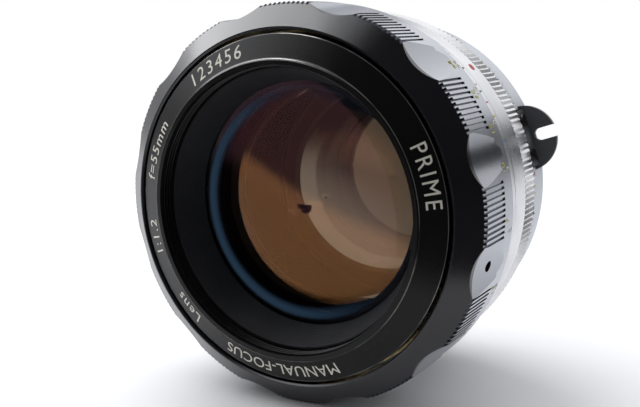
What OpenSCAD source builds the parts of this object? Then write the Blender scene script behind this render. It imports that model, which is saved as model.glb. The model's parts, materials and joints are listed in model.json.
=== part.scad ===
// Fast prime lens for a bayonet-mount SLR camera: 55 mm, f/1.2, all-metal barrel.
// The optical axis runs along Y. The front faces -Y, +X is to the right seen from
// the front, and the origin is the centre of the mount flange face.
// Every module is drawn about a local Z axis that points forward out of the lens,
// with z = 0 at the flange face, and ax() lays that axis along -Y.

/* [Barrel] */
// Flange face to the front rim
front_length = 49.6; // [49:0.1:52]
// Across the ribbed hills of the focus grip
grip_diameter = 72.6; // [72:0.1:75]
// Across the distance-scale skirt behind the grip
scale_diameter = 72.2; // [72:0.1:72.6]
// Across the bright fixed ring and the milled ring
bright_diameter = 69.4; // [69:0.1:69.4]
// Rear edge of the distance-scale skirt
skirt_rear = 30.6; // [30:0.1:31]
// Front edge of the milled ring
milled_front = 19.7; // [18:0.1:21]
// Rear edge of the milled ring
milled_rear = 13.9; // [13.9:0.1:15]

/* [Front Rim] */
// Bore that the 52 mm x 0.75 filter screws into
filter_bore = 51.4; // [51.1:0.1:51.5]
// Depth of the filter thread
filter_depth = 3.4; // [2.5:0.1:3.4]
// Across the conical engraved face
face_diameter = 62; // [60:0.1:62]
// How far the engraved face falls back from its inner to its outer edge
face_fall = 1.75; // [1:0.05:2]
// Gap between the engraved face and the focus grip
rim_gap = 0.6; // [0.3:0.1:0.7]

/* [Focus Grip] */
// Ribbed hills around the grip
grip_hills = 12; // [9:1:12]
// Grooves cut along each hill
hill_grooves = 11; // [5:1:11]
// Angle between two grooves
groove_pitch = 1.5; // [1.2:0.1:1.6]
// Groove width
groove_width = 0.5; // [0.3:0.05:0.6]
// Groove depth
groove_depth = 0.45; // [0.2:0.05:0.6]
// Depth of the smooth valleys between hills, at their front end
valley_depth = 1.25; // [1:0.05:1.4]
// Depth of the valleys where they run out into the skirt
valley_runout = 0.35; // [0.3:0.05:0.5]
// Radius of the cutter that leaves each valley
valley_cutter = 12; // [10:0.5:14]
// Rear end of the hills
hill_rear = 34.8; // [34:0.1:35.5]
// Front end of the hills, where the cone starts
hill_front = 44.1; // [43:0.1:45]

/* [Aperture Ring] */
// Across the smooth band
ring_diameter = 65; // [64.6:0.1:65.4]
// Across the finger hills next to the milled ring
ring_hill_diameter = 68; // [67.6:0.1:68.4]
// Finger hills
ring_hills = 7; // [5:1:7]
// Ribs on each finger hill
ring_grooves = 17; // [7:1:17]
// Rear edge of the finger hills
ring_hill_rear = 10.9; // [10.5:0.1:11.2]
// Width of the coupling prong
prong_width = 12.6; // [10:0.1:14]
// Tip of the prong from the optical axis
prong_reach = 38.8; // [38:0.1:40]
// Slot that a camera's coupling pin runs in
prong_slot = 2.3; // [2:0.1:3]

/* [Iris] */
// Blade thickness
blade_thickness = 0.16; // [0.1:0.01:0.16]
// Free radius with the iris wide open
iris_open = 16.3; // [16.2:0.1:16.6]
// Width of the crescent of each blade
blade_width = 7.4; // [6:0.1:7.4]

/* [Mount] */
// Bayonet tube that enters the camera throat
throat_diameter = 43.8; // [43.4:0.1:43.9]
// Across the bayonet lugs
lug_diameter = 47; // [46:0.1:47.4]
// Across the mount plate
plate_diameter = 62; // [60:0.1:62]
// Thickness of the mount plate
plate_thickness = 1.5; // [1.4:0.1:1.5]

/* [Display] */
// Fineness of curves in the preview
smoothness = 128; // [48:8:200]

/* [Hidden] */
$fn = smoothness;
e = 0.01;                     // overlap of cutters past a face
run = 0.1;                    // running clearance between turning parts
fine = 300;                   // facets of the shallow glass surfaces

r_grip = grip_diameter / 2;
r_scale = scale_diameter / 2;
r_bright = bright_diameter / 2;
r_face = face_diameter / 2;
r_filter = filter_bore / 2;
r_band = ring_diameter / 2;
r_ring_hill = ring_hill_diameter / 2;
r_throat = throat_diameter / 2;
r_plate = plate_diameter / 2;

// Angles about the axis, anticlockwise seen from the front, 0 to the right
index_angle = 45.3;           // barrel index, so the top of the lens on a camera
prong_angle = 19.1;           // prong with the ring at its widest stop
valley_angle = 17.8;          // one valley of the grip at infinity focus
hill_step = 360 / grip_hills;
screw_valleys = [for (k = [0:2]) round(k * grip_hills / 3) - 1];   // valleys with a set screw
link_angle = prong_angle + 180;
ring_hill_angle = 26;         // middle of one finger hill with the ring at its widest stop
tab_angle = 100;              // iris drive tab at the widest stop
lever_angle = 250;            // stop-down lever at rest
stop_turn = 52;               // aperture ring, widest to smallest stop
click_angle = 300;            // click ball of the aperture ring
lug_angles = [10, 130, 250];  // start of each bayonet lug
lug_sweep = 58;
notch_angle = index_angle + 88;             // notch for the lock pin

// Nested walls, from the outside in
r_core = 32.6;                // main barrel, under the bright rings
r_core_in = 31.5;
r_turn = 31.4;                // turning focus sleeve
r_turn_in = 29.4;
r_optic = 29.3;               // sliding optical unit
r_cell = 26;                  // front cell inside it
r_iris = 26.9;                // iris housing inside it
r_tube = 30;                  // rear tube that the aperture ring turns on
r_tube_in = 27.5;

// Stations along the axis
z_face = front_length - 0.45 - face_fall;   // outer edge of the engraved face
z_flange = 44;                // front of the optical unit's flange
z_sleeve = 15;                // rear of the two sleeves
z_web = 37.3;                 // rear of the grip's inner web
z_turn_top = 41.8;
z_cement_front = 29.5;        // cemented face of the front doublet
z_cement_rear = 8.5;          // and of the rear one
cement = 0.02;                // thickness of the cement
seat = 0.03;                  // lacquer between an element and the step it rests on
z_iris_top = 21.1;
z_iris_rear = 17.5;
z_ring_front = milled_rear - 0.2;
z_ring_rear = plate_thickness + run;
z_screw = 38.8;               // set screws of the grip
z_dot = 21.9;                 // index dot
z_click = 10.5;               // click ball and its spring
z_link = 5.2;                 // link screw
z_lug_rear = -4.2;
z_lug_front = -2.6;
z_tube_rear = -5;

// Iris
blade_count = 7;
r_pivot = 24.8;
r_pin = 0.5;
drive_arm = 4.4;
blade_arc = 140;
blade_pitch = 0.24;
blade_close = 35;             // blade angle at the smallest stop
blade_top = 20.42;
z_cam = 17.6;
cam_thick = 1.1;
cam_steps = 14;
r_cam_in = 20.5;
tab_width = 9;                // drive tab of the cam ring, in degrees
fork_width = 7;               // each prong of the fork round it, in degrees

// Funnel in front of the glass, as [radius, station]
baffle_steps = 14;
baffle_notch = 0.15;          // depth of each step along the axis
baffle_flare = 0.06;          // how far each step undercuts
baffle_top = [24.9, front_length - filter_depth];
baffle_foot = [22.5, 39.75];

// Knurls
milled_ribs = 214;
milled_cut = 0.28;
ring_groove_pitch = 2.3;      // degrees
ring_groove_width = 0.6;
ring_groove_depth = 0.4;
ring_gap_depth = 1.2;         // gaps between the finger hills
ring_gap_cutter = 7;

// Screws and pins
r_set = 1;                    // set screws of the grip and the link screw
slot_width = 0.3;             // screwdriver slots
screw_phase = 42;             // clear of the arc slot of the link screw
plate_screws = 5;
r_screw_circle = 28.75;
r_plate_head = 1.6;
r_plate_shank = 0.8;
r_dot = 0.75;
r_ball = 0.8;

// Straight keys
key_width = 4;
key_thick = 1.2;
key_length = 16;
r_key = 28;
z_key = 8;

// Coupling prong
foot_seat = 33.2;             // flat that the foot sits on, from the axis
foot_thick = 0.8;
foot_width = 11;
prong_thick = 0.8;
prong_z = 8.6;
prong_slot_depth = 3;         // middle of the slot's round end, in from the tip
prong_screw_x = 31.2;
prong_screw_y = 3.4;
prong_screw_z = 11.8;
r_prong_screw = 0.7;
r_prong_head = 1.2;

// ---- helpers ----

// Lays the local forward axis along -Y.
module ax() { rotate([90, 0, 0]) children(); }

// A turned part from its [radius, station] outline.
module turned(outline) { rotate_extrude() polygon(outline); }

// A plain ring.
module ring(r_in, r_out, z0, z1) {
    rotate_extrude() translate([r_in, z0]) square([r_out - r_in, z1 - z0]);
}

// A ring segment from angle a0 over angle sweep.
module segment(r_in, r_out, z0, z1, a0, sweep) {
    rotate([0, 0, a0]) rotate_extrude(angle = sweep)
        translate([r_in, z0]) square([r_out - r_in, z1 - z0]);
}

// A cylinder that points away from the axis at angle a and station z.
module radial(a, z, r0, r1, r) {
    rotate([0, 0, a]) translate([r0, 0, z]) rotate([0, 90, 0]) cylinder(r = r, h = r1 - r0);
}

// Places of the five screws that hold the mount plate.
module at_plate_screws() {
    for (k = [0:plate_screws - 1]) rotate([0, 0, screw_phase + k * 360 / plate_screws])
        translate([r_screw_circle, 0, 0]) children();
}

// The two places of the straight keys, in line with the index.
module at_keys() { for (a = [0, 180]) rotate([0, 0, index_angle + a]) children(); }

// The two screws of the prong, pointing away from the axis.
module at_prong_screws() {
    for (s = [-1, 1]) translate([prong_screw_x, s * prong_screw_y, prong_screw_z])
        rotate([0, 90, 0]) children();
}

// A glass element: rim radius, front and rear vertex with their radii of curvature
// (positive is convex) and the stations of its ground rim faces.
module glass(r, z_front, c_front, z_rear, c_rear, rim_front, rim_rear) {
    top = c_front > 0 ? z_front : rim_front;
    low = c_rear > 0 ? z_rear : rim_rear;
    difference() {
        intersection() {
            translate([0, 0, low]) cylinder(r = r, h = top - low);
            if (c_front > 0) translate([0, 0, z_front - c_front]) sphere(r = c_front, $fn = fine);
            if (c_rear > 0) translate([0, 0, z_rear + c_rear]) sphere(r = c_rear, $fn = fine);
        }
        if (c_front < 0) translate([0, 0, z_front - c_front]) sphere(r = -c_front, $fn = fine);
        if (c_rear < 0) translate([0, 0, z_rear + c_rear]) sphere(r = -c_rear, $fn = fine);
    }
}

// ---- front of the optical unit ----

module name_ring() color([0.06, 0.06, 0.06]) ax()
    turned([[r_filter, front_length], [r_filter + 0.75, front_length],
        [r_filter + 1.2, front_length - 0.45], [r_face - 0.2, z_face], [r_face, z_face - 0.15],
        [r_face, z_flange], [25.3, z_flange], [25.3, front_length - filter_depth],
        [r_filter, front_length - filter_depth]]);

// The matt funnel steps down to the glass and holds lens 1 in its seat.
function step_r(k) = baffle_top[0] + (baffle_foot[0] - baffle_top[0]) * k / baffle_steps;
function step_z(k) = baffle_top[1] + (baffle_foot[1] - baffle_top[1]) * k / baffle_steps;

module front_baffle() color([0.12, 0.12, 0.12]) ax()
    turned(concat([[25.2, 42], [25.2, baffle_top[1]]],
        [for (k = [0:baffle_steps - 1], s = [0, 1])
            [step_r(k + s) + baffle_flare * s, step_z(k) - baffle_notch * s]],
        [[baffle_foot[0], baffle_foot[1]], [24.2, baffle_foot[1]], [24.2, 42]]));

module front_cell() color([0.1, 0.1, 0.1]) ax()
    turned([[18.65, 21.3], [r_cell, 21.3], [r_cell, z_flange], [25.25, z_flange], [25.25, 41.95],
        [24.25, 41.95], [24.25, 39.7], [22.85, 39.7], [22.85, 38 - seat], [21.25, 38 - seat],
        [21.25, z_cement_front - seat], [20.45, z_cement_front - seat], [20.45, 24],
        [18.65, 24]]);

module front_spacer() color([0.15, 0.15, 0.15]) ax() ring(20.6, 21.2, 34.4, 37.95);

module lens_1() color([0.6, 0.5, 0.8, 0.5]) ax()
    glass(r = 22.8, z_front = 44, c_front = 58,
        z_rear = 38, c_rear = 0, rim_front = 39.33, rim_rear = 38);

module lens_2() color([0.8, 0.65, 0.4, 0.5]) ax()
    glass(r = 21.2, z_front = 37.7, c_front = 60,
        z_rear = z_cement_front, c_rear = 0, rim_front = 33.83, rim_rear = z_cement_front);

module lens_3() color([0.8, 0.6, 0.3, 0.5]) ax() difference() {
    glass(r = 20, z_front = z_cement_front - cement, c_front = 0,
        z_rear = 27.7, c_rear = -22, rim_front = z_cement_front - cement, rim_rear = 21.32);
    ring(18.6, 21, 20, 24);
}

// ---- body of the optical unit ----

module optic_sleeve() color([0.55, 0.5, 0.35]) ax() difference() {
    turned([[r_iris, z_sleeve], [r_optic, z_sleeve], [r_optic, z_flange - 2],
        [r_face - run, z_flange - 2], [r_face - run, z_flange], [r_cell, z_flange],
        [r_cell, 21.3], [r_iris, 21.3]]);
    at_keys() translate([r_key - 0.1, -key_width / 2 - 0.05, z_sleeve - 1])
        cube([3, key_width + 0.1, z_key + key_length + 2 - z_sleeve]);
}

module iris_housing() color([0.12, 0.12, 0.12]) ax() difference() {
    turned([[iris_open - 0.2, z_iris_top], [r_iris, z_iris_top], [r_iris, z_iris_rear],
        [r_iris - 0.7, z_iris_rear], [r_iris - 0.7, z_iris_top - 0.6],
        [iris_open - 0.2, z_iris_top - 0.6]]);
    for (i = [0:blade_count - 1]) rotate([0, 0, i * 360 / blade_count])
        translate([r_pivot, 0, z_iris_top - 1]) cylinder(r = r_pin + 0.05, h = 2);
}

// Where a blade's drive pin is, as [radius, angle], once its blade has turned by t.
function pin_x(t) = r_pivot + drive_arm * cos(-90 - t);
function pin_y(t) = drive_arm * sin(-90 - t);
function pin_r(t) = norm([pin_x(t), pin_y(t)]);
function pin_a(t) = atan2(pin_y(t), pin_x(t));

// The same place as seen from the cam ring, which turns stop_turn meanwhile.
function cam_a(k) = pin_a(blade_close * k / cam_steps) - stop_turn * k / cam_steps;
function cam_r(k) = pin_r(blade_close * k / cam_steps);
function at(r, a) = [r * cos(a), r * sin(a)];

module cam_slot(w) {
    polygon(concat([for (k = [0:cam_steps]) at(cam_r(k) + w, cam_a(k))],
        [for (k = [cam_steps:-1:0]) at(cam_r(k) - w, cam_a(k))]));
    for (k = [0, cam_steps]) translate(at(cam_r(k), cam_a(k))) circle(r = w);
}

module iris_cam_ring() color([0.5, 0.42, 0.25]) ax() {
    translate([0, 0, z_cam]) linear_extrude(cam_thick) difference() {
        circle(r = r_iris - 0.8);
        circle(r = r_cam_in);
        for (i = [0:blade_count - 1]) rotate(i * 360 / blade_count) cam_slot(r_pin + 0.1);
    }
    segment(23.6, 25, 4.5, z_cam + e, tab_angle - tab_width / 2, tab_width);
}

// Crescent with an ear that carries the pivot and the drive pin.
module blade_outline() {
    r_out = iris_open + blade_width;
    difference() {
        intersection() {
            circle(r = r_out);
            polygon([[0, 0], at(60, 2), at(60, -45), at(60, -90), at(60, -blade_arc)]);
        }
        circle(r = iris_open);
    }
    difference() {
        polygon([at(18, -1.5), at(r_pivot - 0.1, 1.6), [r_pivot + 0.4, 0.3], [r_pivot + 0.4, -4.4],
            at(r_pivot - 0.3, -14), at(18, -14)]);
        circle(r = iris_open);
    }
    translate([r_pivot, 0]) circle(r = 0.9);
    translate([r_pivot, -drive_arm]) circle(r = 0.85);
}

module blade(i) color([0.32, 0.32, 0.34]) ax() rotate([0, 0, i * 360 / blade_count]) {
    z = blade_top - i * blade_pitch - blade_thickness;
    translate([0, 0, z]) linear_extrude(blade_thickness) blade_outline();
    translate([r_pivot, 0, z + blade_thickness / 2])
        cylinder(r = r_pin, h = z_iris_top - 0.05 - z - blade_thickness / 2);
    translate([r_pivot, -drive_arm, z_cam + 0.2])
        cylinder(r = r_pin, h = z + blade_thickness / 2 - z_cam - 0.2);
}

module iris_blade_1() blade(0);
module iris_blade_2() blade(1);
module iris_blade_3() blade(2);
module iris_blade_4() blade(3);
module iris_blade_5() blade(4);
module iris_blade_6() blade(5);
module iris_blade_7() blade(6);

// ---- rear group ----

module rear_cell() color([0.08, 0.08, 0.08]) ax() difference() {
    turned([[16.85, -7.1], [18.6, -7.1], [18.6, 16.3], [r_iris, 16.3], [r_iris, z_iris_rear],
        [15, z_iris_rear], [15, 15.9], [16.45, 15.9], [16.45, 5.5], [16.85, 5.5]]);
    segment(23.3, 25.3, 16, 18, tab_angle - 7.5, stop_turn + 15);
}

module lens_4() color([0.7, 0.75, 0.5, 0.5]) ax()
    glass(r = 16.4, z_front = 10.1, c_front = -21.5,
        z_rear = z_cement_rear, c_rear = 0, rim_front = 15.8, rim_rear = z_cement_rear);

module lens_5() color([0.7, 0.7, 0.8, 0.5]) ax()
    glass(r = 16.4, z_front = z_cement_rear - cement, c_front = 0,
        z_rear = 1.3, c_rear = 33, rim_front = z_cement_rear - cement, rim_rear = 5.6);

module lens_6() color([0.6, 0.7, 0.8, 0.5]) ax()
    glass(r = 16.8, z_front = 1, c_front = -110,
        z_rear = -3.4, c_rear = 42, rim_front = 2.29, rim_rear = 0.1);

module lens_7() color([0.7, 0.6, 0.8, 0.5]) ax()
    glass(r = 16.8, z_front = -3.6, c_front = 95,
        z_rear = -7.6, c_rear = 110, rim_front = -5.1, rim_rear = -6.3);

module mid_spacer() color([0.1, 0.1, 0.1]) ax() ring(16, 16.75, 2.35, 5.4);

module rear_spacer() color([0.1, 0.1, 0.1]) ax() ring(16, 16.75, -4.9, -0.3);

module rear_retainer() color([0.1, 0.1, 0.1]) ax() difference() {
    turned([[15.5, -7.1], [16.85, -7.1], [16.85, -6.55], [15.9, -6.55]]);
    for (a = [0, 180]) rotate([0, 0, a]) translate([15, -0.6, -7.2]) cube([1.4, 1.2, 0.4]);
}

// ---- focusing ----

// Cross-section of the grip with the grooves of its hills.
module grip_outline() {
    difference() {
        circle(r = r_grip);
        for (k = [0:grip_hills - 1], g = [0:hill_grooves - 1])
            rotate(valley_angle + (k + 0.5) * hill_step + (g - (hill_grooves - 1) / 2) * groove_pitch)
                translate([r_grip - groove_depth, -groove_width / 2])
                    square([groove_depth + 1, groove_width]);
    }
}

// The valleys: a round cutter, tilted so that each cut runs out into the skirt.
module valley_cuts() {
    tilt = atan((valley_depth - valley_runout) / (hill_front - hill_rear));
    for (k = [0:grip_hills - 1]) rotate([0, 0, valley_angle + k * hill_step])
        translate([r_grip - valley_depth + valley_cutter, 0, hill_front]) rotate([0, -tilt, 0])
            translate([0, 0, -20]) cylinder(r = valley_cutter, h = 30);
}

function screw_angle(k) = valley_angle + k * hill_step;

module focus_grip() color([0.05, 0.05, 0.055]) ax() difference() {
    r_mouth = r_face + rim_gap;
    union() {
        intersection() {
            translate([0, 0, hill_rear]) linear_extrude(z_face - hill_rear) grip_outline();
            turned([[r_mouth - 2, hill_rear], [r_grip + 1, hill_rear], [r_grip + 1, hill_front - 1],
                [r_grip, hill_front - 0.2], [r_grip - 0.25, hill_front + 0.12],
                [r_mouth + 0.5, z_face], [r_mouth - 2, z_face]]);
        }
        turned([[r_mouth - 2, skirt_rear], [r_scale - 0.2, skirt_rear], [r_scale, skirt_rear + 0.2],
            [r_scale, hill_rear + e], [r_mouth - 2, hill_rear + e]]);
    }
    turned([[0, skirt_rear - 1], [r_bright + run, skirt_rear - 1], [r_bright + run, z_web],
        [r_turn, z_web], [r_turn, z_turn_top], [r_mouth, z_turn_top], [r_mouth, z_face - 0.25],
        [r_mouth + 0.3, z_face + e], [0, z_face + e]]);
    valley_cuts();
    for (k = screw_valleys)
        radial(screw_angle(k), z_screw, r_turn - 1, r_grip + 1, r_set);
}

module focus_sleeve() color([0.6, 0.5, 0.3]) ax() difference() {
    ring(r_turn_in, r_turn, z_sleeve, z_turn_top);
    for (k = screw_valleys)
        radial(screw_angle(k), z_screw, r_turn - 0.8, r_turn + 1, r_set);
}

module focus_screws() color([0.2, 0.2, 0.2]) ax() for (k = screw_valleys) difference() {
    radial(screw_angle(k), z_screw, r_turn - 0.8, r_grip - valley_depth - 0.25, r_set);
    rotate([0, 0, screw_angle(k)])
        translate([r_grip - valley_depth - 0.7, -1.2, z_screw - slot_width / 2])
            cube([1, 2.4, slot_width]);
}

// ---- fixed barrel ----

module main_barrel() color([0.09, 0.09, 0.09]) ax() difference() {
    turned([[r_tube_in, plate_thickness], [r_tube, plate_thickness], [r_tube, milled_rear - 0.1],
        [r_core, milled_rear - 0.1], [r_core, 37], [r_core_in, 37], [r_core_in, z_sleeve - run],
        [r_tube_in, z_sleeve - run]]);
    // arc slot for the link screw
    segment(r_tube_in - 1, r_tube + 1, 3.9, 6.5, link_angle - 3, stop_turn + 6);
    // pockets for the feet of the straight keys
    at_keys() translate([r_key, -key_width / 2, z_key]) cube([key_thick, key_width, 8]);
    // pocket for the click ball
    radial(click_angle, z_click, r_tube_in + 0.3, r_tube + 1, r_ball + 0.05);
    at_plate_screws() translate([0, 0, plate_thickness - 1]) cylinder(r = r_plate_shank, h = 4.5);
}

module index_barrel() color([0.8, 0.8, 0.78]) ax() difference() {
    turned([[r_core, milled_front], [r_bright, milled_front], [r_bright, 24.6],
        [r_bright + 0.05, 24.75], [r_bright + 0.05, 25.25], [r_bright, 25.4], [r_bright, 37],
        [r_bright - 0.2, 37.2], [r_core, 37.2]]);
    radial(index_angle, z_dot, r_bright - 0.8, r_bright + 1, r_dot);
}

// Straight knurl of fine V-shaped ribs.
module milled_ring() color([0.85, 0.85, 0.83]) ax() difference() {
    intersection() {
        translate([0, 0, milled_rear]) linear_extrude(milled_front - milled_rear)
            polygon([for (k = [0:2 * milled_ribs - 1])
                at(r_bright - (k % 2) * milled_cut, k * 180 / milled_ribs)]);
        turned([[0, milled_rear], [r_bright - 0.5, milled_rear], [r_bright + 0.1, milled_rear + 0.5],
            [r_bright + 0.1, milled_front - 0.5], [r_bright - 0.5, milled_front], [0, milled_front]]);
    }
    translate([0, 0, milled_rear - 1]) cylinder(r = r_core, h = milled_front - milled_rear + 2);
}

module index_dot() color([0.7, 0.1, 0.08]) ax()
    radial(index_angle, z_dot, r_bright - 0.8, r_bright + 0.03, r_dot);

// Two straight keys stop the optical unit from turning as it slides.
module focus_keys() color([0.7, 0.65, 0.5]) ax()
    at_keys() translate([r_key, -key_width / 2, z_key]) cube([key_thick, key_width, key_length]);

module click_ball() color([0.75, 0.75, 0.78]) ax()
    rotate([0, 0, click_angle]) translate([r_tube - r_ball, 0, z_click]) sphere(r = r_ball);

module click_spring() color([0.6, 0.6, 0.62]) ax()
    radial(click_angle, z_click, r_tube_in + 0.3, r_tube - 2 * r_ball - 0.05, r_ball - 0.1);

// ---- aperture ring ----

// Cross-section of the finger hills, with fine ribs and dark gaps between hills.
module ring_outline() {
    hill_step = 360 / ring_hills;
    difference() {
        circle(r = r_ring_hill);
        for (k = [0:ring_hills - 1]) rotate(ring_hill_angle + k * hill_step) {
            rotate(hill_step / 2) translate([r_ring_hill - ring_gap_depth + ring_gap_cutter, 0])
                circle(r = ring_gap_cutter);
            for (g = [0:ring_grooves - 1]) rotate((g - (ring_grooves - 1) / 2) * ring_groove_pitch)
                translate([r_ring_hill - ring_groove_depth, -ring_groove_width / 2])
                    square([2, ring_groove_width]);
        }
    }
}

module aperture_ring() color([0.06, 0.06, 0.065]) ax() difference() {
    union() {
        translate([0, 0, ring_hill_rear]) linear_extrude(z_ring_front - ring_hill_rear)
            ring_outline();
        turned([[0, z_ring_rear], [r_band - 0.25, z_ring_rear], [r_band, z_ring_rear + 0.25],
            [r_band, ring_hill_rear + e], [0, ring_hill_rear + e]]);
    }
    translate([0, 0, -1]) cylinder(r = r_tube + run, h = 20);
    rotate([0, 0, prong_angle]) {
        translate([foot_seat, -foot_width / 2 - 0.1, 9]) cube([4, foot_width + 0.2, 6]);
        at_prong_screws() cylinder(r = r_prong_screw, h = 4);
    }
    radial(link_angle, z_link, r_tube - 1, r_band + 1, r_set);
}

// Inner ring behind the barrel wall: its fork turns the iris at any focus setting.
module control_ring() color([0.5, 0.42, 0.25]) ax() {
    difference() {
        ring(25.2, r_tube_in - 0.2, 3, 7.5);
        radial(link_angle, z_link, 25.5, 28, r_set);
    }
    for (s = [-1, 1])
        segment(23.4, 25.3, 3, 12.5, tab_angle + s * 9 - fork_width / 2, fork_width);
}

module link_screw() color([0.3, 0.3, 0.3]) ax() difference() {
    radial(link_angle, z_link, 25.5, r_band - 0.3, r_set);
    rotate([0, 0, link_angle]) translate([r_band - 0.8, -1.2, z_link - slot_width / 2])
        cube([1, 2.4, slot_width]);
}

module coupling_prong() color([0.1, 0.1, 0.105]) ax() rotate([0, 0, prong_angle]) {
    r_disc = prong_width / 2;
    x_disc = prong_reach - r_disc;
    difference() {
        union() {
            translate([0, 0, prong_z]) linear_extrude(prong_thick) {
                translate([x_disc, 0]) circle(r = r_disc);
                translate([30, -r_disc]) square([x_disc - 30, prong_width]);
            }
            translate([foot_seat, -foot_width / 2, prong_z])
                cube([foot_thick, foot_width, z_ring_front - 0.2 - prong_z]);
        }
        translate([0, 0, prong_z - 1]) cylinder(r = r_band, h = 3.3);
        translate([prong_reach - prong_slot_depth, 0, prong_z - 1]) cylinder(r = prong_slot / 2, h = 3);
        translate([prong_reach - prong_slot_depth, -prong_slot / 2, prong_z - 1]) cube([8, prong_slot, 3]);
        at_prong_screws() cylinder(r = r_prong_screw, h = 4);
    }
}

module prong_screws() color([0.25, 0.25, 0.25]) ax() rotate([0, 0, prong_angle])
    at_prong_screws() {
        reach = foot_seat + foot_thick - prong_screw_x;
        cylinder(r = r_prong_screw, h = reach);
        translate([0, 0, reach]) difference() {
            cylinder(r = r_prong_head, h = 0.5);
            translate([-1.5, -slot_width / 2, 0.2]) cube([3, slot_width, 1]);
        }
    }

// ---- rear end ----

// Lever that a camera's diaphragm arm pushes, on a thin ring inside the throat.
module stop_lever() color([0.75, 0.75, 0.72]) ax() {
    ring(19, r_throat - 1.7, -1, 1);
    segment(19.1, r_throat - 1.8, -7.3, -1 + e, lever_angle - 3, 6);
}

module rear_baffle() color([0.06, 0.06, 0.06]) ax() difference() {
    ring(18.95, r_throat - 1.5, -4.9, -1.1);
    segment(18, r_throat, -6, 0, lever_angle - 5, 28);
}

module mount_plate() color([0.82, 0.81, 0.78]) ax() difference() {
    union() {
        turned([[19.1, 1.1], [r_throat - 1.5, 1.1], [r_throat - 1.5, z_tube_rear],
            [r_throat - 0.4, z_tube_rear], [r_throat, z_tube_rear + 0.4], [r_throat, 0],
            [r_plate - 0.2, 0], [r_plate, 0.2],
            [r_plate, plate_thickness], [19.1, plate_thickness]]);
        for (a = lug_angles)
            segment(r_throat - 0.5, lug_diameter / 2, z_lug_rear, z_lug_front, a, lug_sweep);
    }
    // counterbored screw seats
    at_plate_screws() translate([0, 0, -1]) {
        cylinder(r = r_plate_head, h = 1.75);
        cylinder(r = r_plate_shank, h = 4);
    }
    // notch for the camera's lock pin
    rotate([0, 0, notch_angle]) translate([r_plate - 2.6, -1.4, -1]) cube([4, 2.8, 2]);
}

module mount_screws() color([0.7, 0.7, 0.7]) ax()
    at_plate_screws() translate([0, 0, 0.05]) difference() {
        union() {
            cylinder(r = r_plate_head, h = 0.7);
            cylinder(r = r_plate_shank, h = 4.8);
        }
        for (t = [0, 90]) rotate([0, 0, t]) translate([-1, -0.18, -1]) cube([2, 0.36, 1.4]);
    }

name_ring();
front_baffle();
front_cell();
front_spacer();
lens_1();
lens_2();
lens_3();
optic_sleeve();
iris_housing();
iris_cam_ring();
iris_blade_1();
iris_blade_2();
iris_blade_3();
iris_blade_4();
iris_blade_5();
iris_blade_6();
iris_blade_7();
rear_cell();
lens_4();
lens_5();
lens_6();
lens_7();
mid_spacer();
rear_spacer();
rear_retainer();
focus_grip();
focus_sleeve();
focus_screws();
main_barrel();
index_barrel();
milled_ring();
index_dot();
focus_keys();
click_ball();
click_spring();
aperture_ring();
control_ring();
link_screw();
coupling_prong();
prong_screws();
stop_lever();
rear_baffle();
mount_plate();
mount_screws();
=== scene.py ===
import json
import math

import bpy
from mathutils import Matrix, Vector


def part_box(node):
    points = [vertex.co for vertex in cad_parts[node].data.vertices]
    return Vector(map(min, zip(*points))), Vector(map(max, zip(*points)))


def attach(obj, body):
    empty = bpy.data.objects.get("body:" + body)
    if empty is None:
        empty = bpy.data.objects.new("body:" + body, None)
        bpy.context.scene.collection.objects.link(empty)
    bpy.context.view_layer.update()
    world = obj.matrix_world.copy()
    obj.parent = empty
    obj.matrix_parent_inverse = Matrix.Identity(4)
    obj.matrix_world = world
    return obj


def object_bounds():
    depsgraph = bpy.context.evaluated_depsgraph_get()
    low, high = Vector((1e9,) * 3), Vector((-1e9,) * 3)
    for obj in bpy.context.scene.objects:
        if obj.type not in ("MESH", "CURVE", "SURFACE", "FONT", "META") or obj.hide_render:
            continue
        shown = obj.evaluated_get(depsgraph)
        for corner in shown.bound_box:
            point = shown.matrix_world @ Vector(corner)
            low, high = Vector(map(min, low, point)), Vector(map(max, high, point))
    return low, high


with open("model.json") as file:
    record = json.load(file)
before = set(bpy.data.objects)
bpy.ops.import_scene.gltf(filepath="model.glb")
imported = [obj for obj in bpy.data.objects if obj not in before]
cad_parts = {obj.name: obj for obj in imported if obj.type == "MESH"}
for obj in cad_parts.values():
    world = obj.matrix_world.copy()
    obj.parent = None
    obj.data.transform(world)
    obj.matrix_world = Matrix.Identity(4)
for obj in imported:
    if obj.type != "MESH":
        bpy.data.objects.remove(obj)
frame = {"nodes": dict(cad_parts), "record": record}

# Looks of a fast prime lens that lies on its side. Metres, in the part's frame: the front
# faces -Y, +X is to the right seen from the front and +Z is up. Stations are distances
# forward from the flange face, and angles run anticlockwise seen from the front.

CAD_BOX = [list(corner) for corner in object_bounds()]
MM = 0.001

# ---- sizes read from the frame ----


def half_width(name):
    """Radius of a turned node, from its box."""
    low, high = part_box(name)
    return (high.x - low.x) / 2


def stations(name):
    """Rear and front station of a node."""
    low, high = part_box(name)
    return -high.y, -low.y


NAME_REAR, NAME_FRONT = stations("name_ring")
GRIP_REAR, GRIP_FRONT = stations("focus_grip")
BRIGHT_REAR, BRIGHT_FRONT = stations("index_barrel")
MILLED_REAR, MILLED_FRONT = stations("milled_ring")
RING_REAR, RING_FRONT = stations("aperture_ring")
R_NAME = half_width("name_ring")
R_BRIGHT = half_width("index_barrel")
R_GRIP = half_width("focus_grip")
R_SKIRT = 36.1 * MM                  # distance-scale skirt
R_BAND = 32.5 * MM                   # smooth band of the aperture ring
R_FILTER = 25.7 * MM                 # bore of the filter thread
R_LIP = 26.9 * MM                    # inner edge of the engraved face
HILL_FRONT = 44.1 * MM               # front end of the grip's ribbed hills
FACE_FALL = 1.75 * MM                # how far the engraved face falls back to its outer edge
FACE_STEP = 0.45 * MM                # from the front rim back to that face's inner edge
R_FACE = R_NAME - 0.2 * MM           # outer edge of that face
THREAD_PITCH = 0.75 * MM
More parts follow.
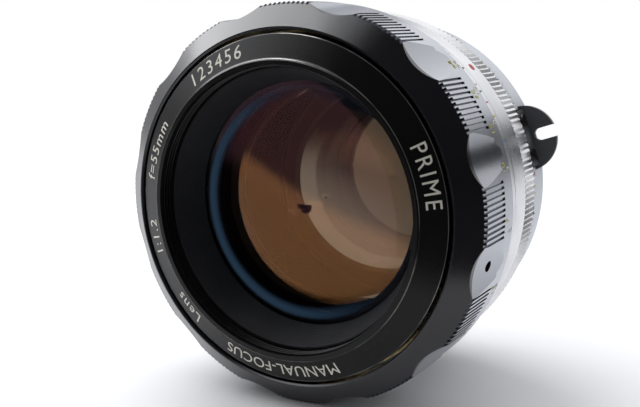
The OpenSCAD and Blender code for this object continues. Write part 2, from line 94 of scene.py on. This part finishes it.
THREAD_DEPTH = 3.4 * MM

INDEX_ANGLE = 45.3                   # barrel index
FOCUS_TURN = 190                     # infinity to the closest distance
STOP_TURN = 52                       # widest to smallest stop
FOCAL_LENGTH = 55                    # mm
CLOSEST = 0.6                        # m
DEPTH_SPREAD = 1.55                  # degrees of depth scale either side, per f-number
WIDEST, SMALLEST = 1.2, 16

# ---- small helpers ----


def polar(radius, angle, station):
    """Point at a radius, an angle in degrees and a station."""
    turn = math.radians(angle)
    return Vector((radius * math.cos(turn), -station, radius * math.sin(turn)))


def make_piece(name, points, faces, body, material, smooth=False):
    """A mesh piece that rides on a body."""
    mesh = bpy.data.meshes.new(name)
    mesh.from_pydata([tuple(p) for p in points], [], faces)
    mesh.validate()
    mesh.update()
    piece = bpy.data.objects.new(name, mesh)
    bpy.context.scene.collection.objects.link(piece)
    mesh.materials.append(material)
    if smooth:
        mesh.shade_smooth()
    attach(piece, body)
    return piece


class Shader:
    """A material's node tree, with short calls to add and link nodes."""

    def __init__(self, name):
        self.material = bpy.data.materials.new(name)
        self.material.use_nodes = True
        self.tree = self.material.node_tree
        self.tree.nodes.clear()
        self.output = self.tree.nodes.new("ShaderNodeOutputMaterial")

    @classmethod
    def of_world(cls, world):
        """The same short calls on a world's node tree."""
        shader = cls.__new__(cls)
        shader.tree = world.node_tree
        shader.tree.nodes.clear()
        shader.output = shader.tree.nodes.new("ShaderNodeOutputWorld")
        return shader

    def set(self, socket, value):
        if isinstance(value, bpy.types.NodeSocket):
            self.tree.links.new(value, socket)
        else:
            socket.default_value = value

    def add(self, kind, inputs=None, **settings):
        node = self.tree.nodes.new("ShaderNode" + kind)
        for key, value in settings.items():
            setattr(node, key, value)
        for key, value in (inputs or {}).items():
            self.set(node.inputs[key], value)
        return node

    def math(self, operation, a, b=0.0, c=0.0):
        return self.add("Math", {0: a, 1: b, 2: c}, operation=operation).outputs[0]

    def range(self, value, low, high, to_low=0.0, to_high=1.0):
        """A smooth step from to_low at low to to_high at high."""
        inputs = {"Value": value, "From Min": low, "From Max": high,
                  "To Min": to_low, "To Max": to_high}
        return self.add("MapRange", inputs, interpolation_type="SMOOTHSTEP").outputs[0]

    def noise(self, vector, scale, detail=3.0, roughness=0.5):
        inputs = {"Vector": vector, "Scale": scale, "Detail": detail, "Roughness": roughness}
        return self.add("TexNoise", inputs).outputs[0]

    def mix(self, factor, a, b):
        node = self.add("Mix", data_type="RGBA")
        self.set(node.inputs[0], factor)
        self.set(node.inputs[6], a)
        self.set(node.inputs[7], b)
        return node.outputs[2]

    def bump(self, height, distance, strength=1.0):
        inputs = {"Height": height, "Distance": distance, "Strength": strength}
        return self.add("Bump", inputs).outputs[0]

    def place(self):
        """Object coordinates, and the radius and y that go with them."""
        self.position = self.add("TexCoord").outputs["Object"]
        split = self.add("SeparateXYZ", {0: self.position})
        across = self.add("CombineXYZ", {0: split.outputs[0], 2: split.outputs[2]}).outputs[0]
        self.radius = self.add("VectorMath", {0: across}, operation="LENGTH").outputs["Value"]
        self.along = split.outputs[1]
        self.turned = self.add("CombineXYZ", {0: self.radius, 1: self.along}).outputs[0]

    def principled(self, color, metallic, roughness, normal=None, **more):
        inputs = {"Base Color": color, "Metallic": metallic, "Roughness": roughness}
        if normal is not None:
            inputs["Normal"] = normal
        inputs.update({key.replace("_", " "): value for key, value in more.items()})
        self.surface = self.add("BsdfPrincipled", inputs).outputs[0]
        self.set(self.output.inputs[0], self.surface)
        return self.material

    def coat(self, share, color, roughness, normal):
        """A mirror coat over the surface so far."""
        mirror = self.add("BsdfGlossy", {"Color": color, "Roughness": roughness, "Normal": normal})
        mixed = self.add("MixShader", {0: share, 1: self.surface, 2: mirror.outputs[0]})
        self.set(self.output.inputs[0], mixed.outputs[0])


def rgb(red, green, blue):
    return (red, green, blue, 1.0)


# ---- materials ----


def worn_black(name, color, roughness, grain, wear=0.0, gloss=0.5, highlight_and_rubbed_rims=(), sides=None):
    """Black finish on turned metal: turning marks, a fine orange peel, and brass showing
    through where edges have rubbed. The rim radii given are thin bright metal rims: partly
    rubbed wear, partly a painted highlight for the light an edge bevel would catch. sides is
    a station: behind it the enamel is polished by handling and mirrors more."""
    s = Shader(name)
    s.place()
    marks = s.noise(s.turned, 2600, 2)
    peel = s.noise(s.position, 900, 3)
    patches = s.noise(s.position, 70, 4)
    rough = s.range(patches, 0.3, 0.7, roughness * 0.8, roughness * 1.3)
    height = s.math("ADD", s.math("MULTIPLY", marks, grain), s.math("MULTIPLY", peel, 0.5))
    normal = s.bump(height, 0.000012)
    tone = s.mix(patches, color, [c * 1.5 for c in color[:3]] + [1.0])
    more = {"Specular_IOR_Level": gloss}
    if not wear:
        return s.principled(tone, 0.0, rough, normal, **more)
    sharpness = s.add("NewGeometry").outputs["Pointiness"]
    edge = s.math("SUBTRACT", 1.0, s.range(sharpness, 0.5, 0.58, 1.0, 0.0))
    flecks = s.range(s.noise(s.position, 420, 5, 0.65), 0.70, 0.75)
    rubbed = s.math("MULTIPLY", s.math("MULTIPLY", edge, flecks), wear)
    tone = s.mix(rubbed, tone, rgb(0.42, 0.30, 0.14))
    # thin bright metal rims: partly rubbed wear, partly a painted highlight on edges that have no
    # bevel
    for radius in highlight_and_rubbed_rims:
        off = s.math("ABSOLUTE", s.math("SUBTRACT", s.radius, radius))
        uneven = s.range(s.noise(s.position, 110, 3), 0.35, 0.65, 0.05, 0.7)
        rim = s.math("MULTIPLY", s.range(off, 0.02 * MM, 0.08 * MM, 1.0, 0.0), uneven)
        tone = s.mix(rim, tone, rgb(0.50, 0.48, 0.45))
        rubbed = s.math("MAXIMUM", rubbed, rim)
    s.principled(tone, rubbed, rough, normal, **more)
    if sides is not None:
        handled = s.range(s.along, -sides - 0.1 * MM, -sides + 0.1 * MM)
        facing = s.add("LayerWeight", {"Blend": 0.5}).outputs["Facing"]
        share = s.math("MULTIPLY", handled, s.range(facing, 0.2, 0.8, 0.02, 0.36))
        s.coat(share, rgb(0.88, 0.92, 1.0), rough, normal)
    return s.material


def plated(name, color, roughness, grain, scale=2400):
    """Chrome plate over turned brass, with circular turning marks."""
    s = Shader(name)
    s.place()
    marks = s.noise(s.turned, scale, 3, 0.6)
    cloud = s.noise(s.position, 120, 4)
    rough = s.range(cloud, 0.3, 0.7, roughness * 0.8, roughness * 1.25)
    tone = s.mix(s.range(marks, 0.3, 0.7), color, [c * 0.86 for c in color[:3]] + [1.0])
    return s.principled(tone, 1.0, rough, s.bump(marks, 0.000008, grain))


def bare_metal(name, color, roughness):
    """Steel or brass with fine isotropic grain."""
    s = Shader(name)
    s.place()
    grain = s.noise(s.position, 1500, 3)
    tone = s.mix(grain, color, [c * 0.7 for c in color[:3]] + [1.0])
    return s.principled(tone, 1.0, s.range(grain, 0.3, 0.7, roughness * 0.8, roughness * 1.3),
                        s.bump(grain, 0.000006))


def painted(name, color):
    """Paint that fills an engraving."""
    s = Shader(name)
    s.place()
    grain = s.noise(s.position, 2500, 3)
    tone = s.mix(grain, color, [c * 0.8 for c in color[:3]] + [1.0])
    return s.principled(tone, 0.0, 0.55, s.bump(grain, 0.00001))


RIM_GLOW = 0.075                     # brightness of the glow on a ground rim
CAUGHT_GLOW = 0.24                   # and of that on an inner face


def coated_glass(name, tint, front, rear, split, strength, grazing=6.0, rear_extra=0.0,
                 ground=False, caught=None):
    """Optical glass whose coatings colour its reflections: front is the colour mirrored by
    the faces ahead of station split, rear by those behind. strength is the share mirrored
    head on, grazing how many times more at the edge, and rear_extra what the rear adds.
    ground gives the rim a cold glow, and caught is the colour of a glow on the lower left
    of the front face. Both stand in for scattered light."""
    s = Shader(name)
    s.place()
    facing = s.add("LayerWeight", {"Blend": 0.5}).outputs["Facing"]
    share = s.range(facing, 0.2, 1.0, strength, min(1.0, strength * grazing))
    haze = s.range(s.noise(s.position, 60, 4), 0.4, 0.8, 0.0, 0.02)
    behind = s.range(s.along, -split - 0.05 * MM, -split + 0.05 * MM)
    share = s.math("MULTIPLY_ADD", behind, rear_extra, share)
    through = s.add("BsdfRefraction", {"Color": tint, "Roughness": 0.0, "IOR": 1.6}).outputs[0]
    mirror = s.add("BsdfGlossy", {"Color": s.mix(behind, front, rear), "Roughness": haze})
    mixed = s.add("MixShader", {0: share, 1: through, 2: mirror.outputs[0]}).outputs[0]
    sides = s.add("SeparateXYZ", {0: s.position})
    if ground:
        # strongest at the lower left
        rim = s.math("MULTIPLY", s.range(s.radius, 18.6 * MM, 20.6 * MM),
                     s.range(s.radius, 20.7 * MM, 21.8 * MM, 1.0, 0.0))
        lean = s.math("ADD", sides.outputs[0], s.math("MULTIPLY", sides.outputs[2], 0.5))
        rim = s.math("MULTIPLY", rim, s.range(lean, -20 * MM, 8 * MM, 0.8, 0.05))
        glow = s.add("Emission", {"Color": rgb(0.22, 0.46, 0.80), "Strength": RIM_GLOW}).outputs[0]
        mixed = s.add("MixShader", {0: rim, 1: mixed, 2: glow}).outputs[0]
    if caught is not None:
        lean = s.math("MULTIPLY_ADD", sides.outputs[0], 0.7, sides.outputs[2])
        low = s.range(lean, -13 * MM, -1 * MM, 0.6, 0.0)
        low = s.math("MULTIPLY", low, s.math("SUBTRACT", 1.0, behind))
        glow = s.add("Emission", {"Color": caught, "Strength": CAUGHT_GLOW}).outputs[0]
        mixed = s.add("MixShader", {0: low, 1: mixed, 2: glow}).outputs[0]
    s.set(s.output.inputs[0], mixed)
    return s.material


MATERIALS = {
    "face_black": worn_black("face_black", rgb(0.006, 0.006, 0.006), 0.24, 0.8, 0.4, 0.22,
                             highlight_and_rubbed_rims=(R_NAME - 0.1 * MM, R_LIP - 0.2 * MM)),
    "baffle_black": worn_black("baffle_black", rgb(0.011, 0.011, 0.013), 0.62, 1.0, gloss=0.4),
    "inner_black": worn_black("inner_black", rgb(0.010, 0.009, 0.009), 0.55, 1.0),
    "rear_black": worn_black("rear_black", rgb(0.012, 0.012, 0.012), 0.40, 1.0),
    "grip_enamel": worn_black("grip_enamel", rgb(0.010, 0.010, 0.012), 0.20, 0.5, 0.8, 0.6,
                              sides=HILL_FRONT),
    "ring_enamel": worn_black("ring_enamel", rgb(0.012, 0.012, 0.014), 0.24, 0.5, 0.5,
                              sides=RING_FRONT),
    "prong_black": worn_black("prong_black", rgb(0.078, 0.080, 0.086), 0.42, 0.3, 0.3),
    "screw_black": bare_metal("screw_black", rgb(0.09, 0.08, 0.08), 0.35),
    "satin_chrome": plated("satin_chrome", rgb(0.64, 0.64, 0.66), 0.28, 0.7),
    "bright_chrome": plated("bright_chrome", rgb(0.70, 0.70, 0.71), 0.30, 0.4),
    "mount_chrome": plated("mount_chrome", rgb(0.62, 0.61, 0.61), 0.24, 1.0, 1800),
    "brass": bare_metal("brass", rgb(0.62, 0.48, 0.24), 0.35),
    "blade_steel": bare_metal("blade_steel", rgb(0.07, 0.07, 0.075), 0.42),
    "steel": bare_metal("steel", rgb(0.62, 0.62, 0.63), 0.28),
    "index_red": painted("index_red", rgb(0.55, 0.03, 0.02)),
    "front_glass": coated_glass(
        "front_glass", tint=rgb(0.97, 0.96, 0.98), front=rgb(0.30, 0.52, 0.80),
        rear=rgb(0.46, 0.20, 0.26), split=38.5 * MM, strength=0.004, grazing=30,
        rear_extra=0.035, ground=True),
    "inner_glass": coated_glass(
        "inner_glass", tint=rgb(0.98, 0.94, 0.88), front=rgb(1.0, 0.48, 0.14),
        rear=rgb(0.6, 0.1, 0.1), split=32 * MM, strength=0.05),
    "rear_glass": coated_glass(
        "rear_glass", tint=rgb(0.97, 0.97, 0.97), front=rgb(0.55, 0.80, 0.72),
        rear=rgb(0.50, 0.40, 0.85), split=-1 * MM, strength=0.03),
}
# The elements inside have coatings of their own. A cemented face mirrors nothing.
CEMENTED = -1.0
ELEMENT_COATINGS = {
    "lens_2": dict(tint=rgb(0.99, 0.92, 0.82), front=rgb(1.0, 0.46, 0.14),
                   rear=rgb(0.50, 0.06, 0.06), split=32 * MM, strength=0.12,
                   rear_extra=CEMENTED),
    "lens_3": dict(tint=rgb(0.98, 0.92, 0.88), front=rgb(0.55, 0.12, 0.05),
                   rear=rgb(0.55, 0.10, 0.12), split=28.6 * MM, strength=0.0,
                   rear_extra=0.012),
    "lens_4": dict(tint=rgb(0.97, 0.98, 0.94), front=rgb(0.88, 0.94, 0.84),
                   rear=rgb(0.7, 0.3, 0.1), split=9.3 * MM, strength=0.04,
                   rear_extra=CEMENTED, caught=rgb(0.80, 0.90, 0.88)),
    "lens_5": dict(tint=rgb(0.97, 0.97, 0.97), front=rgb(0.60, 0.30, 0.20),
                   rear=rgb(0.70, 0.78, 0.95), split=7 * MM, strength=0.0,
                   rear_extra=0.03),
}
WHITE_PAINT = painted("white_paint", rgb(0.80, 0.77, 0.68))
YELLOW_PAINT = painted("yellow_paint", rgb(0.62, 0.58, 0.10))
BLACK_PAINT = painted("black_paint", rgb(0.02, 0.02, 0.02))
SCALE_COLOURS = {
    4: painted("scale_cream", rgb(0.70, 0.66, 0.52)),
    5.6: painted("scale_green", rgb(0.05, 0.32, 0.14)),
    8: painted("scale_pink", rgb(0.62, 0.16, 0.30)),
    11: painted("scale_yellow", rgb(0.62, 0.50, 0.06)),
    16: painted("scale_blue", rgb(0.05, 0.16, 0.46)),
}


def finish_nodes():
    for row in frame["record"]["subparts"]:
        mesh = frame["nodes"][row["node"]].data
        mesh.materials.clear()
        mesh.materials.append(MATERIALS[row["material_slot"]])
    for node, coating in ELEMENT_COATINGS.items():
        frame["nodes"][node].data.materials[0] = coated_glass(node + "_coated", **coating)


# ---- lettering ----

INK = 0.04 * MM                      # how far filled lettering stands proud
SUNK = 0.06 * MM                     # how far it reaches into the metal
CAPITALS = 0.7                       # height of capitals over the type size


def glyph_mesh(text, height, spacing):
    """Flat closed mesh of a text, centred, with its base line at y = 0."""
    curve = bpy.data.curves.new("glyphs", "FONT")
    curve.body = text
    curve.size = height / CAPITALS
    curve.align_x = "CENTER"
    curve.space_character = spacing
    curve.extrude = (INK + SUNK) / 2
    curve.resolution_u = 3
    holder = bpy.data.objects.new("glyphs", curve)
    bpy.context.scene.collection.objects.link(holder)
    bpy.context.view_layer.update()
    mesh = bpy.data.meshes.new_from_object(holder)
    bpy.data.objects.remove(holder)
    return mesh


def lettering(name, text, height, place, body, material, spacing=1.0):
    """Filled engraving. place(x, y, lift) gives a glyph point's place on the object."""
    mesh = glyph_mesh(text, height, spacing)
    lift = (INK - SUNK) / 2
    points = [place(v.co.x, v.co.y, v.co.z + lift) for v in mesh.vertices]
    faces = [tuple(p.vertices) for p in mesh.polygons]
    bpy.data.meshes.remove(mesh)
    return make_piece(name, points, faces, body, material)


def on_face(angle, base):
    """Places lettering on the conical face: it reads clockwise, its tops point outwards."""
    middle = base + 1.1 * MM

    def place(x, y, lift):
        radius = base + y
        fall = (radius - R_LIP) / (R_FACE - R_LIP) * FACE_FALL
        station = NAME_FRONT - FACE_STEP - fall
        return polar(radius, angle - math.degrees(x / middle), station + lift)

    return place


def on_band(radius, angle, base):
    """Places lettering round a band: it reads from behind, its tops point to the front."""

    def place(x, y, lift):
        return polar(radius + lift, angle + math.degrees(x / radius), base + y)

    return place


# Each inscription: the angle at its middle, its text, its height in mm and its spacing
FACE_TEXTS = [
    ("face_word_right", 17.3, "PRIME", 2.5, 1.25),
    ("face_digits", 118.5, "123456", 2.5, 1.22),
    ("face_focal_length", 161, "f=55mm", 2.2, 1.15),
    ("face_ratio", 195, "1:1.2", 2.2, 1.15),
    ("face_word_left", 224.5, "Lens", 2.2, 1.15),
    ("face_word_below", 269.4, "MANUAL-FOCUS", 2.2, 1.02),
]
FACE_BASE = 27.75 * MM               # radius of their base line


def engrave_face():
    for name, angle, text, height, spacing in FACE_TEXTS:
        lettering(name, text, height * MM, on_face(angle, FACE_BASE), "optical_unit",
                  WHITE_PAINT, spacing)


def focus_angle(metres):
    """Ring angle of a distance, measured from infinity."""
    extension = FOCAL_LENGTH ** 2 / (metres * 1000 - 2 * FOCAL_LENGTH)
    longest = FOCAL_LENGTH ** 2 / (CLOSEST * 1000 - 2 * FOCAL_LENGTH)
    return FOCUS_TURN * extension / longest


FEET = 0.3048
METRE_MARKS = (0.6, 0.7, 0.8, 0.9, 1, 1.2, 1.5, 2, 3, 5, 10)
FOOT_MARKS = (2, 2.5, 3, 4, 5, 7, 10, 15, 30)


def engrave_distances():
    rows = [("feet", FOOT_MARKS, FEET, GRIP_REAR + 2.35 * MM, YELLOW_PAINT),
            ("metres", METRE_MARKS, 1, GRIP_REAR + 0.5 * MM, WHITE_PAINT)]
    for row, marks, unit, base, paint in rows:
        for mark in marks:
            angle = INDEX_ANGLE - focus_angle(mark * unit)
            label = ("%g" % mark).lstrip("0")
            name = "distance_%s_%s" % (row, ("%g" % mark).replace(".", "_"))
            lettering(name, label, 1.35 * MM, on_band(R_SKIRT, angle, base), "focus_ring",
                      paint, 1.1)
        lettering("distance_%s_far" % row, "∞", 1.6 * MM,
                  on_band(R_SKIRT, INDEX_ANGLE, base), "focus_ring", paint)


def stop_angle(stop):
    """Ring angle of a stop, measured from the widest."""
    return STOP_TURN * math.log(stop / WIDEST) / math.log(SMALLEST / WIDEST)


def engrave_stops():
    for stop in (1.2, 2, 2.8, 4, 5.6, 8, 11, 16):
        angle = INDEX_ANGLE - stop_angle(stop)
        paint = SCALE_COLOURS.get(stop, WHITE_PAINT)
        name = "stop_" + ("%g" % stop).replace(".", "_")
        lettering(name, "%g" % stop, 2.0 * MM,
                  on_band(R_BAND, angle, RING_REAR + 5.2 * MM), "aperture_control",
                  paint)


def bar(name, radius, angle, width, rear, front, body, paint):
    """A narrow filled line along a band."""
    half = math.degrees(width / 2 / radius)
    corners = [(angle - half, rear), (angle + half, rear),
               (angle + half, front), (angle - half, front)]
    points = [polar(radius + lift, a, z) for lift in (-SUNK, INK) for a, z in corners]
    faces = [(3, 2, 1, 0), (4, 5, 6, 7), (0, 1, 5, 4), (1, 2, 6, 5), (2, 3, 7, 6), (3, 0, 4, 7)]
    return make_piece(name, points, faces, body, paint)


def engrave_depth_lines():
    """Lines either side of the index: how far the ring may turn and stay sharp."""
    rear = BRIGHT_FRONT - 11.2 * MM
    front = GRIP_REAR - 0.4 * MM
    bar("index_line", R_BRIGHT, INDEX_ANGLE, 0.35 * MM, rear, front, "barrel",
        BLACK_PAINT)
    for stop, paint in SCALE_COLOURS.items():
        spread = DEPTH_SPREAD * stop
        for side, sign in (("left", -1), ("right", 1)):
            name = "depth_%s_%s" % (side, ("%g" % stop).replace(".", "_"))
            bar(name, R_BRIGHT, INDEX_ANGLE + sign * spread, 0.3 * MM, rear, front, "barrel",
                paint)


# ---- filter thread ----


def cut_filter_thread():
    """One helical ridge with a rounded crest, closed at both ends."""
    steps_per_turn = 120
    depth = 0.32 * MM
    half = THREAD_PITCH * 0.42
    start = NAME_FRONT - THREAD_DEPTH + half + 0.1 * MM
    turns = (THREAD_DEPTH - 2 * half - 0.3 * MM) / THREAD_PITCH
    steps = int(turns * steps_per_turn)
    outside = R_FILTER + 0.02 * MM
    section = [(outside, -half), (R_FILTER - depth * 0.9, -0.1 * half), (R_FILTER - depth, 0),
               (R_FILTER - depth * 0.9, 0.1 * half), (outside, half)]
    points = []
    for k in range(steps + 1):
        taper = min(1.0, k / 12, (steps - k) / 12)
        for radius, offset in section:
            points.append(polar(outside + (radius - outside) * max(taper, 0.05),
                                k * 360 / steps_per_turn,
                                start + k * THREAD_PITCH / steps_per_turn + offset))
    n = len(section)
    faces = [(k * n + i, k * n + (i + 1) % n, (k + 1) * n + (i + 1) % n, (k + 1) * n + i)
             for k in range(steps) for i in range(n)]
    faces.append(tuple(range(n - 1, -1, -1)))
    faces.append(tuple(steps * n + i for i in range(n)))
    make_piece("filter_thread_ridge", points, faces, "optical_unit",
               MATERIALS["face_black"], smooth=True)


# ---- stage ----

FLOOR_Z = CAD_BOX[0][2]
SHADE_EDGE = 0.133                    # where the painted shade on the floor begins, straight ahead
SHADE_EDGE_SLANT = 0.86                   # how far that edge comes back towards the right
DIM_ROOM = 0.02                      # brightness of the room as the glass shows it


def make_floor():
    size = 6
    s = Shader("floor")
    s.place()
    speck = s.noise(s.position, 40, 3)
    tone = s.mix(speck, rgb(0.83, 0.83, 0.845), rgb(0.85, 0.85, 0.86))
    # painted shade: in front of the lens, past that edge, the floor is coloured almost black for
    # all but camera rays, so the glass mirrors dark there
    across = s.add("SeparateXYZ", {0: s.position}).outputs[0]
    inside = s.math("ADD", s.math("MULTIPLY_ADD", across, -SHADE_EDGE_SLANT, s.along), SHADE_EDGE)
    unshaded_floor = s.range(inside, -0.015, 0.015)
    path = s.add("LightPath")
    seen = path.outputs["Is Camera Ray"]
    # painted shade: rays that leave the glass find the floor behind the lens coloured dark, as if
    # the lens's rear were shut
    painted_dark_behind = s.math("MULTIPLY", s.range(s.along, -0.01, 0.02), path.outputs["Is Transmission Ray"])
    unshaded_floor = s.math("MULTIPLY", unshaded_floor, s.math("SUBTRACT", 1.0, painted_dark_behind))
    lit = s.math("MAXIMUM", unshaded_floor, seen)
    # painted shade: almost black floor colour outside the lit area
    s.principled(s.mix(lit, rgb(0.02, 0.02, 0.022), tone), 0.0, 0.55)
    # far off, the sheet is brighter than the exposure holds
    away = s.add("VectorMath", {0: s.position}, operation="LENGTH").outputs["Value"]
    burnt = s.math("MULTIPLY", s.range(away, 0.10, 0.45), seen)
    glare = s.add("Emission", {"Color": rgb(1.0, 1.0, 1.0), "Strength": 1.0}).outputs[0]
    mixed = s.add("MixShader", {0: burnt, 1: s.surface, 2: glare})
    s.set(s.output.inputs[0], mixed.outputs[0])
    mesh = bpy.data.meshes.new("floor")
    corners = [(-size, -size, FLOOR_Z), (size, -size, FLOOR_Z), (size, size, FLOOR_Z),
               (-size, size, FLOOR_Z)]
    mesh.from_pydata(corners, [], [(0, 1, 2, 3)])
    floor = bpy.data.objects.new("floor", mesh)
    mesh.materials.append(s.material)
    bpy.context.scene.collection.objects.link(floor)


def make_world():
    """A white room, dark in front of the lens. What lights the floor, what metal mirrors and
    what glass shows are set apart, because the floor is brighter than the exposure holds."""
    world = bpy.data.worlds.new("studio")
    world.use_nodes = True
    bpy.context.scene.world = world
    s = Shader.of_world(world)
    direction = s.add("TexCoord").outputs["Generated"]
    split = s.add("SeparateXYZ", {0: direction})
    towards = s.add("VectorMath", {0: direction, 1: (-0.55, 0.75, 0.35)}, operation="DOT_PRODUCT")
    towards = towards.outputs["Value"]
    lighting = s.range(towards, -0.35, 0.35, 0.30, 1.15)
    mirrored = s.range(towards, 0.02, 0.30, 0.03, 0.66)
    window = s.add("VectorMath", {0: direction, 1: (-0.60, -0.05, 0.80)}, operation="DOT_PRODUCT")
    # a dark strip of room low down behind, to the right
    height = s.math("ABSOLUTE", s.math("SUBTRACT", split.outputs[2], 0.12))
    strip = s.math("MULTIPLY", s.range(height, 0.07, 0.18, 1.0, 0.0),
                   s.range(split.outputs[0], 0.15, 0.40))
    mirrored = s.math("MULTIPLY", mirrored, s.math("MULTIPLY_ADD", strip, -0.92, 1.0))
    # a window up to the left, for what mirrors and not for what shows through the glass
    path = s.add("LightPath")
    window = s.range(window.outputs["Value"], 0.70, 0.93, 0.0, 2.6)
    window = s.math("MULTIPLY", window, path.outputs["Is Glossy Ray"])
    mirrored = s.math("ADD", mirrored, window)
    # rays that leave the glass find the room dim
    inside = s.math("SUBTRACT", DIM_ROOM, mirrored)
    mirrored = s.math("MULTIPLY_ADD", path.outputs["Is Transmission Ray"], inside, mirrored)
    diffuse = path.outputs["Is Diffuse Ray"]
    strength = s.math("MULTIPLY_ADD", diffuse, s.math("SUBTRACT", lighting, mirrored), mirrored)
    room = s.add("Background", {"Color": rgb(0.96, 0.97, 1.0), "Strength": strength})
    backdrop = s.add("Background", {"Color": rgb(1.0, 1.0, 1.0)})
    mixed = s.add("MixShader", {0: path.outputs["Is Camera Ray"], 1: room.outputs[0],
                                2: backdrop.outputs[0]})
    s.set(s.output.inputs[0], mixed.outputs[0])


def add_softbox(name, place, target, width, height, power):
    light = bpy.data.lights.new(name, "AREA")
    light.shape = "RECTANGLE"
    light.size = width
    light.size_y = height
    light.energy = power
    holder = bpy.data.objects.new(name, light)
    holder.location = place
    holder.rotation_euler = (Vector(target) - Vector(place)).to_track_quat("-Z", "Y").to_euler()
    holder.visible_transmission = False                # no lamp shows inside the glass
    bpy.context.scene.collection.objects.link(holder)


def make_lights():
    middle = (0, -0.025, 0)
    add_softbox("key", (-0.45, 0.10, 0.60), middle, 0.8, 0.8, 5.0)
    add_softbox("fill", (0.15, 0.55, 0.35), middle, 0.7, 0.4, 0.6)


CAMERA_AZIMUTH = 29.36               # degrees to the right of the axis
CAMERA_ELEVATION = 10.73             # degrees above it
CAMERA_DISTANCE = 175.7 * MM         # from the middle of the engraved face's outer edge
CAMERA_RIGHT = 6.29 * MM             # how far the camera is shifted sideways in its own plane
CAMERA_UP = 1.41 * MM


def make_camera():
    """The camera at the photograph's angle."""
    azimuth, elevation = math.radians(CAMERA_AZIMUTH), math.radians(CAMERA_ELEVATION)
    back = Vector((math.sin(azimuth) * math.cos(elevation),
                   -math.cos(azimuth) * math.cos(elevation), math.sin(elevation)))
    right = Vector((math.cos(azimuth), math.sin(azimuth), 0))
    up = back.cross(right)
    centre = Vector((0, -(NAME_FRONT - FACE_STEP - FACE_FALL), 0))
    place = centre + back * CAMERA_DISTANCE + right * CAMERA_RIGHT + up * CAMERA_UP
    data = bpy.data.cameras.new("camera")
    data.sensor_width = 36
    data.lens = 56.25
    data.clip_start = 0.005
    camera = bpy.data.objects.new("camera", data)
    turn = Matrix((right, up, back)).transposed().to_4x4()
    camera.matrix_world = Matrix.Translation(place) @ turn
    bpy.context.scene.collection.objects.link(camera)
    bpy.context.scene.camera = camera


def main():
    scene = bpy.context.scene
    scene.view_settings.view_transform = "Standard"
    scene.cycles.transparent_max_bounces = 24
    scene.cycles.transmission_bounces = 24
    scene.cycles.max_bounces = 24
    finish_nodes()
    engrave_face()
    engrave_distances()
    engrave_stops()
    engrave_depth_lines()
    cut_filter_thread()
    make_floor()
    make_world()
    make_lights()
    make_camera()


main()
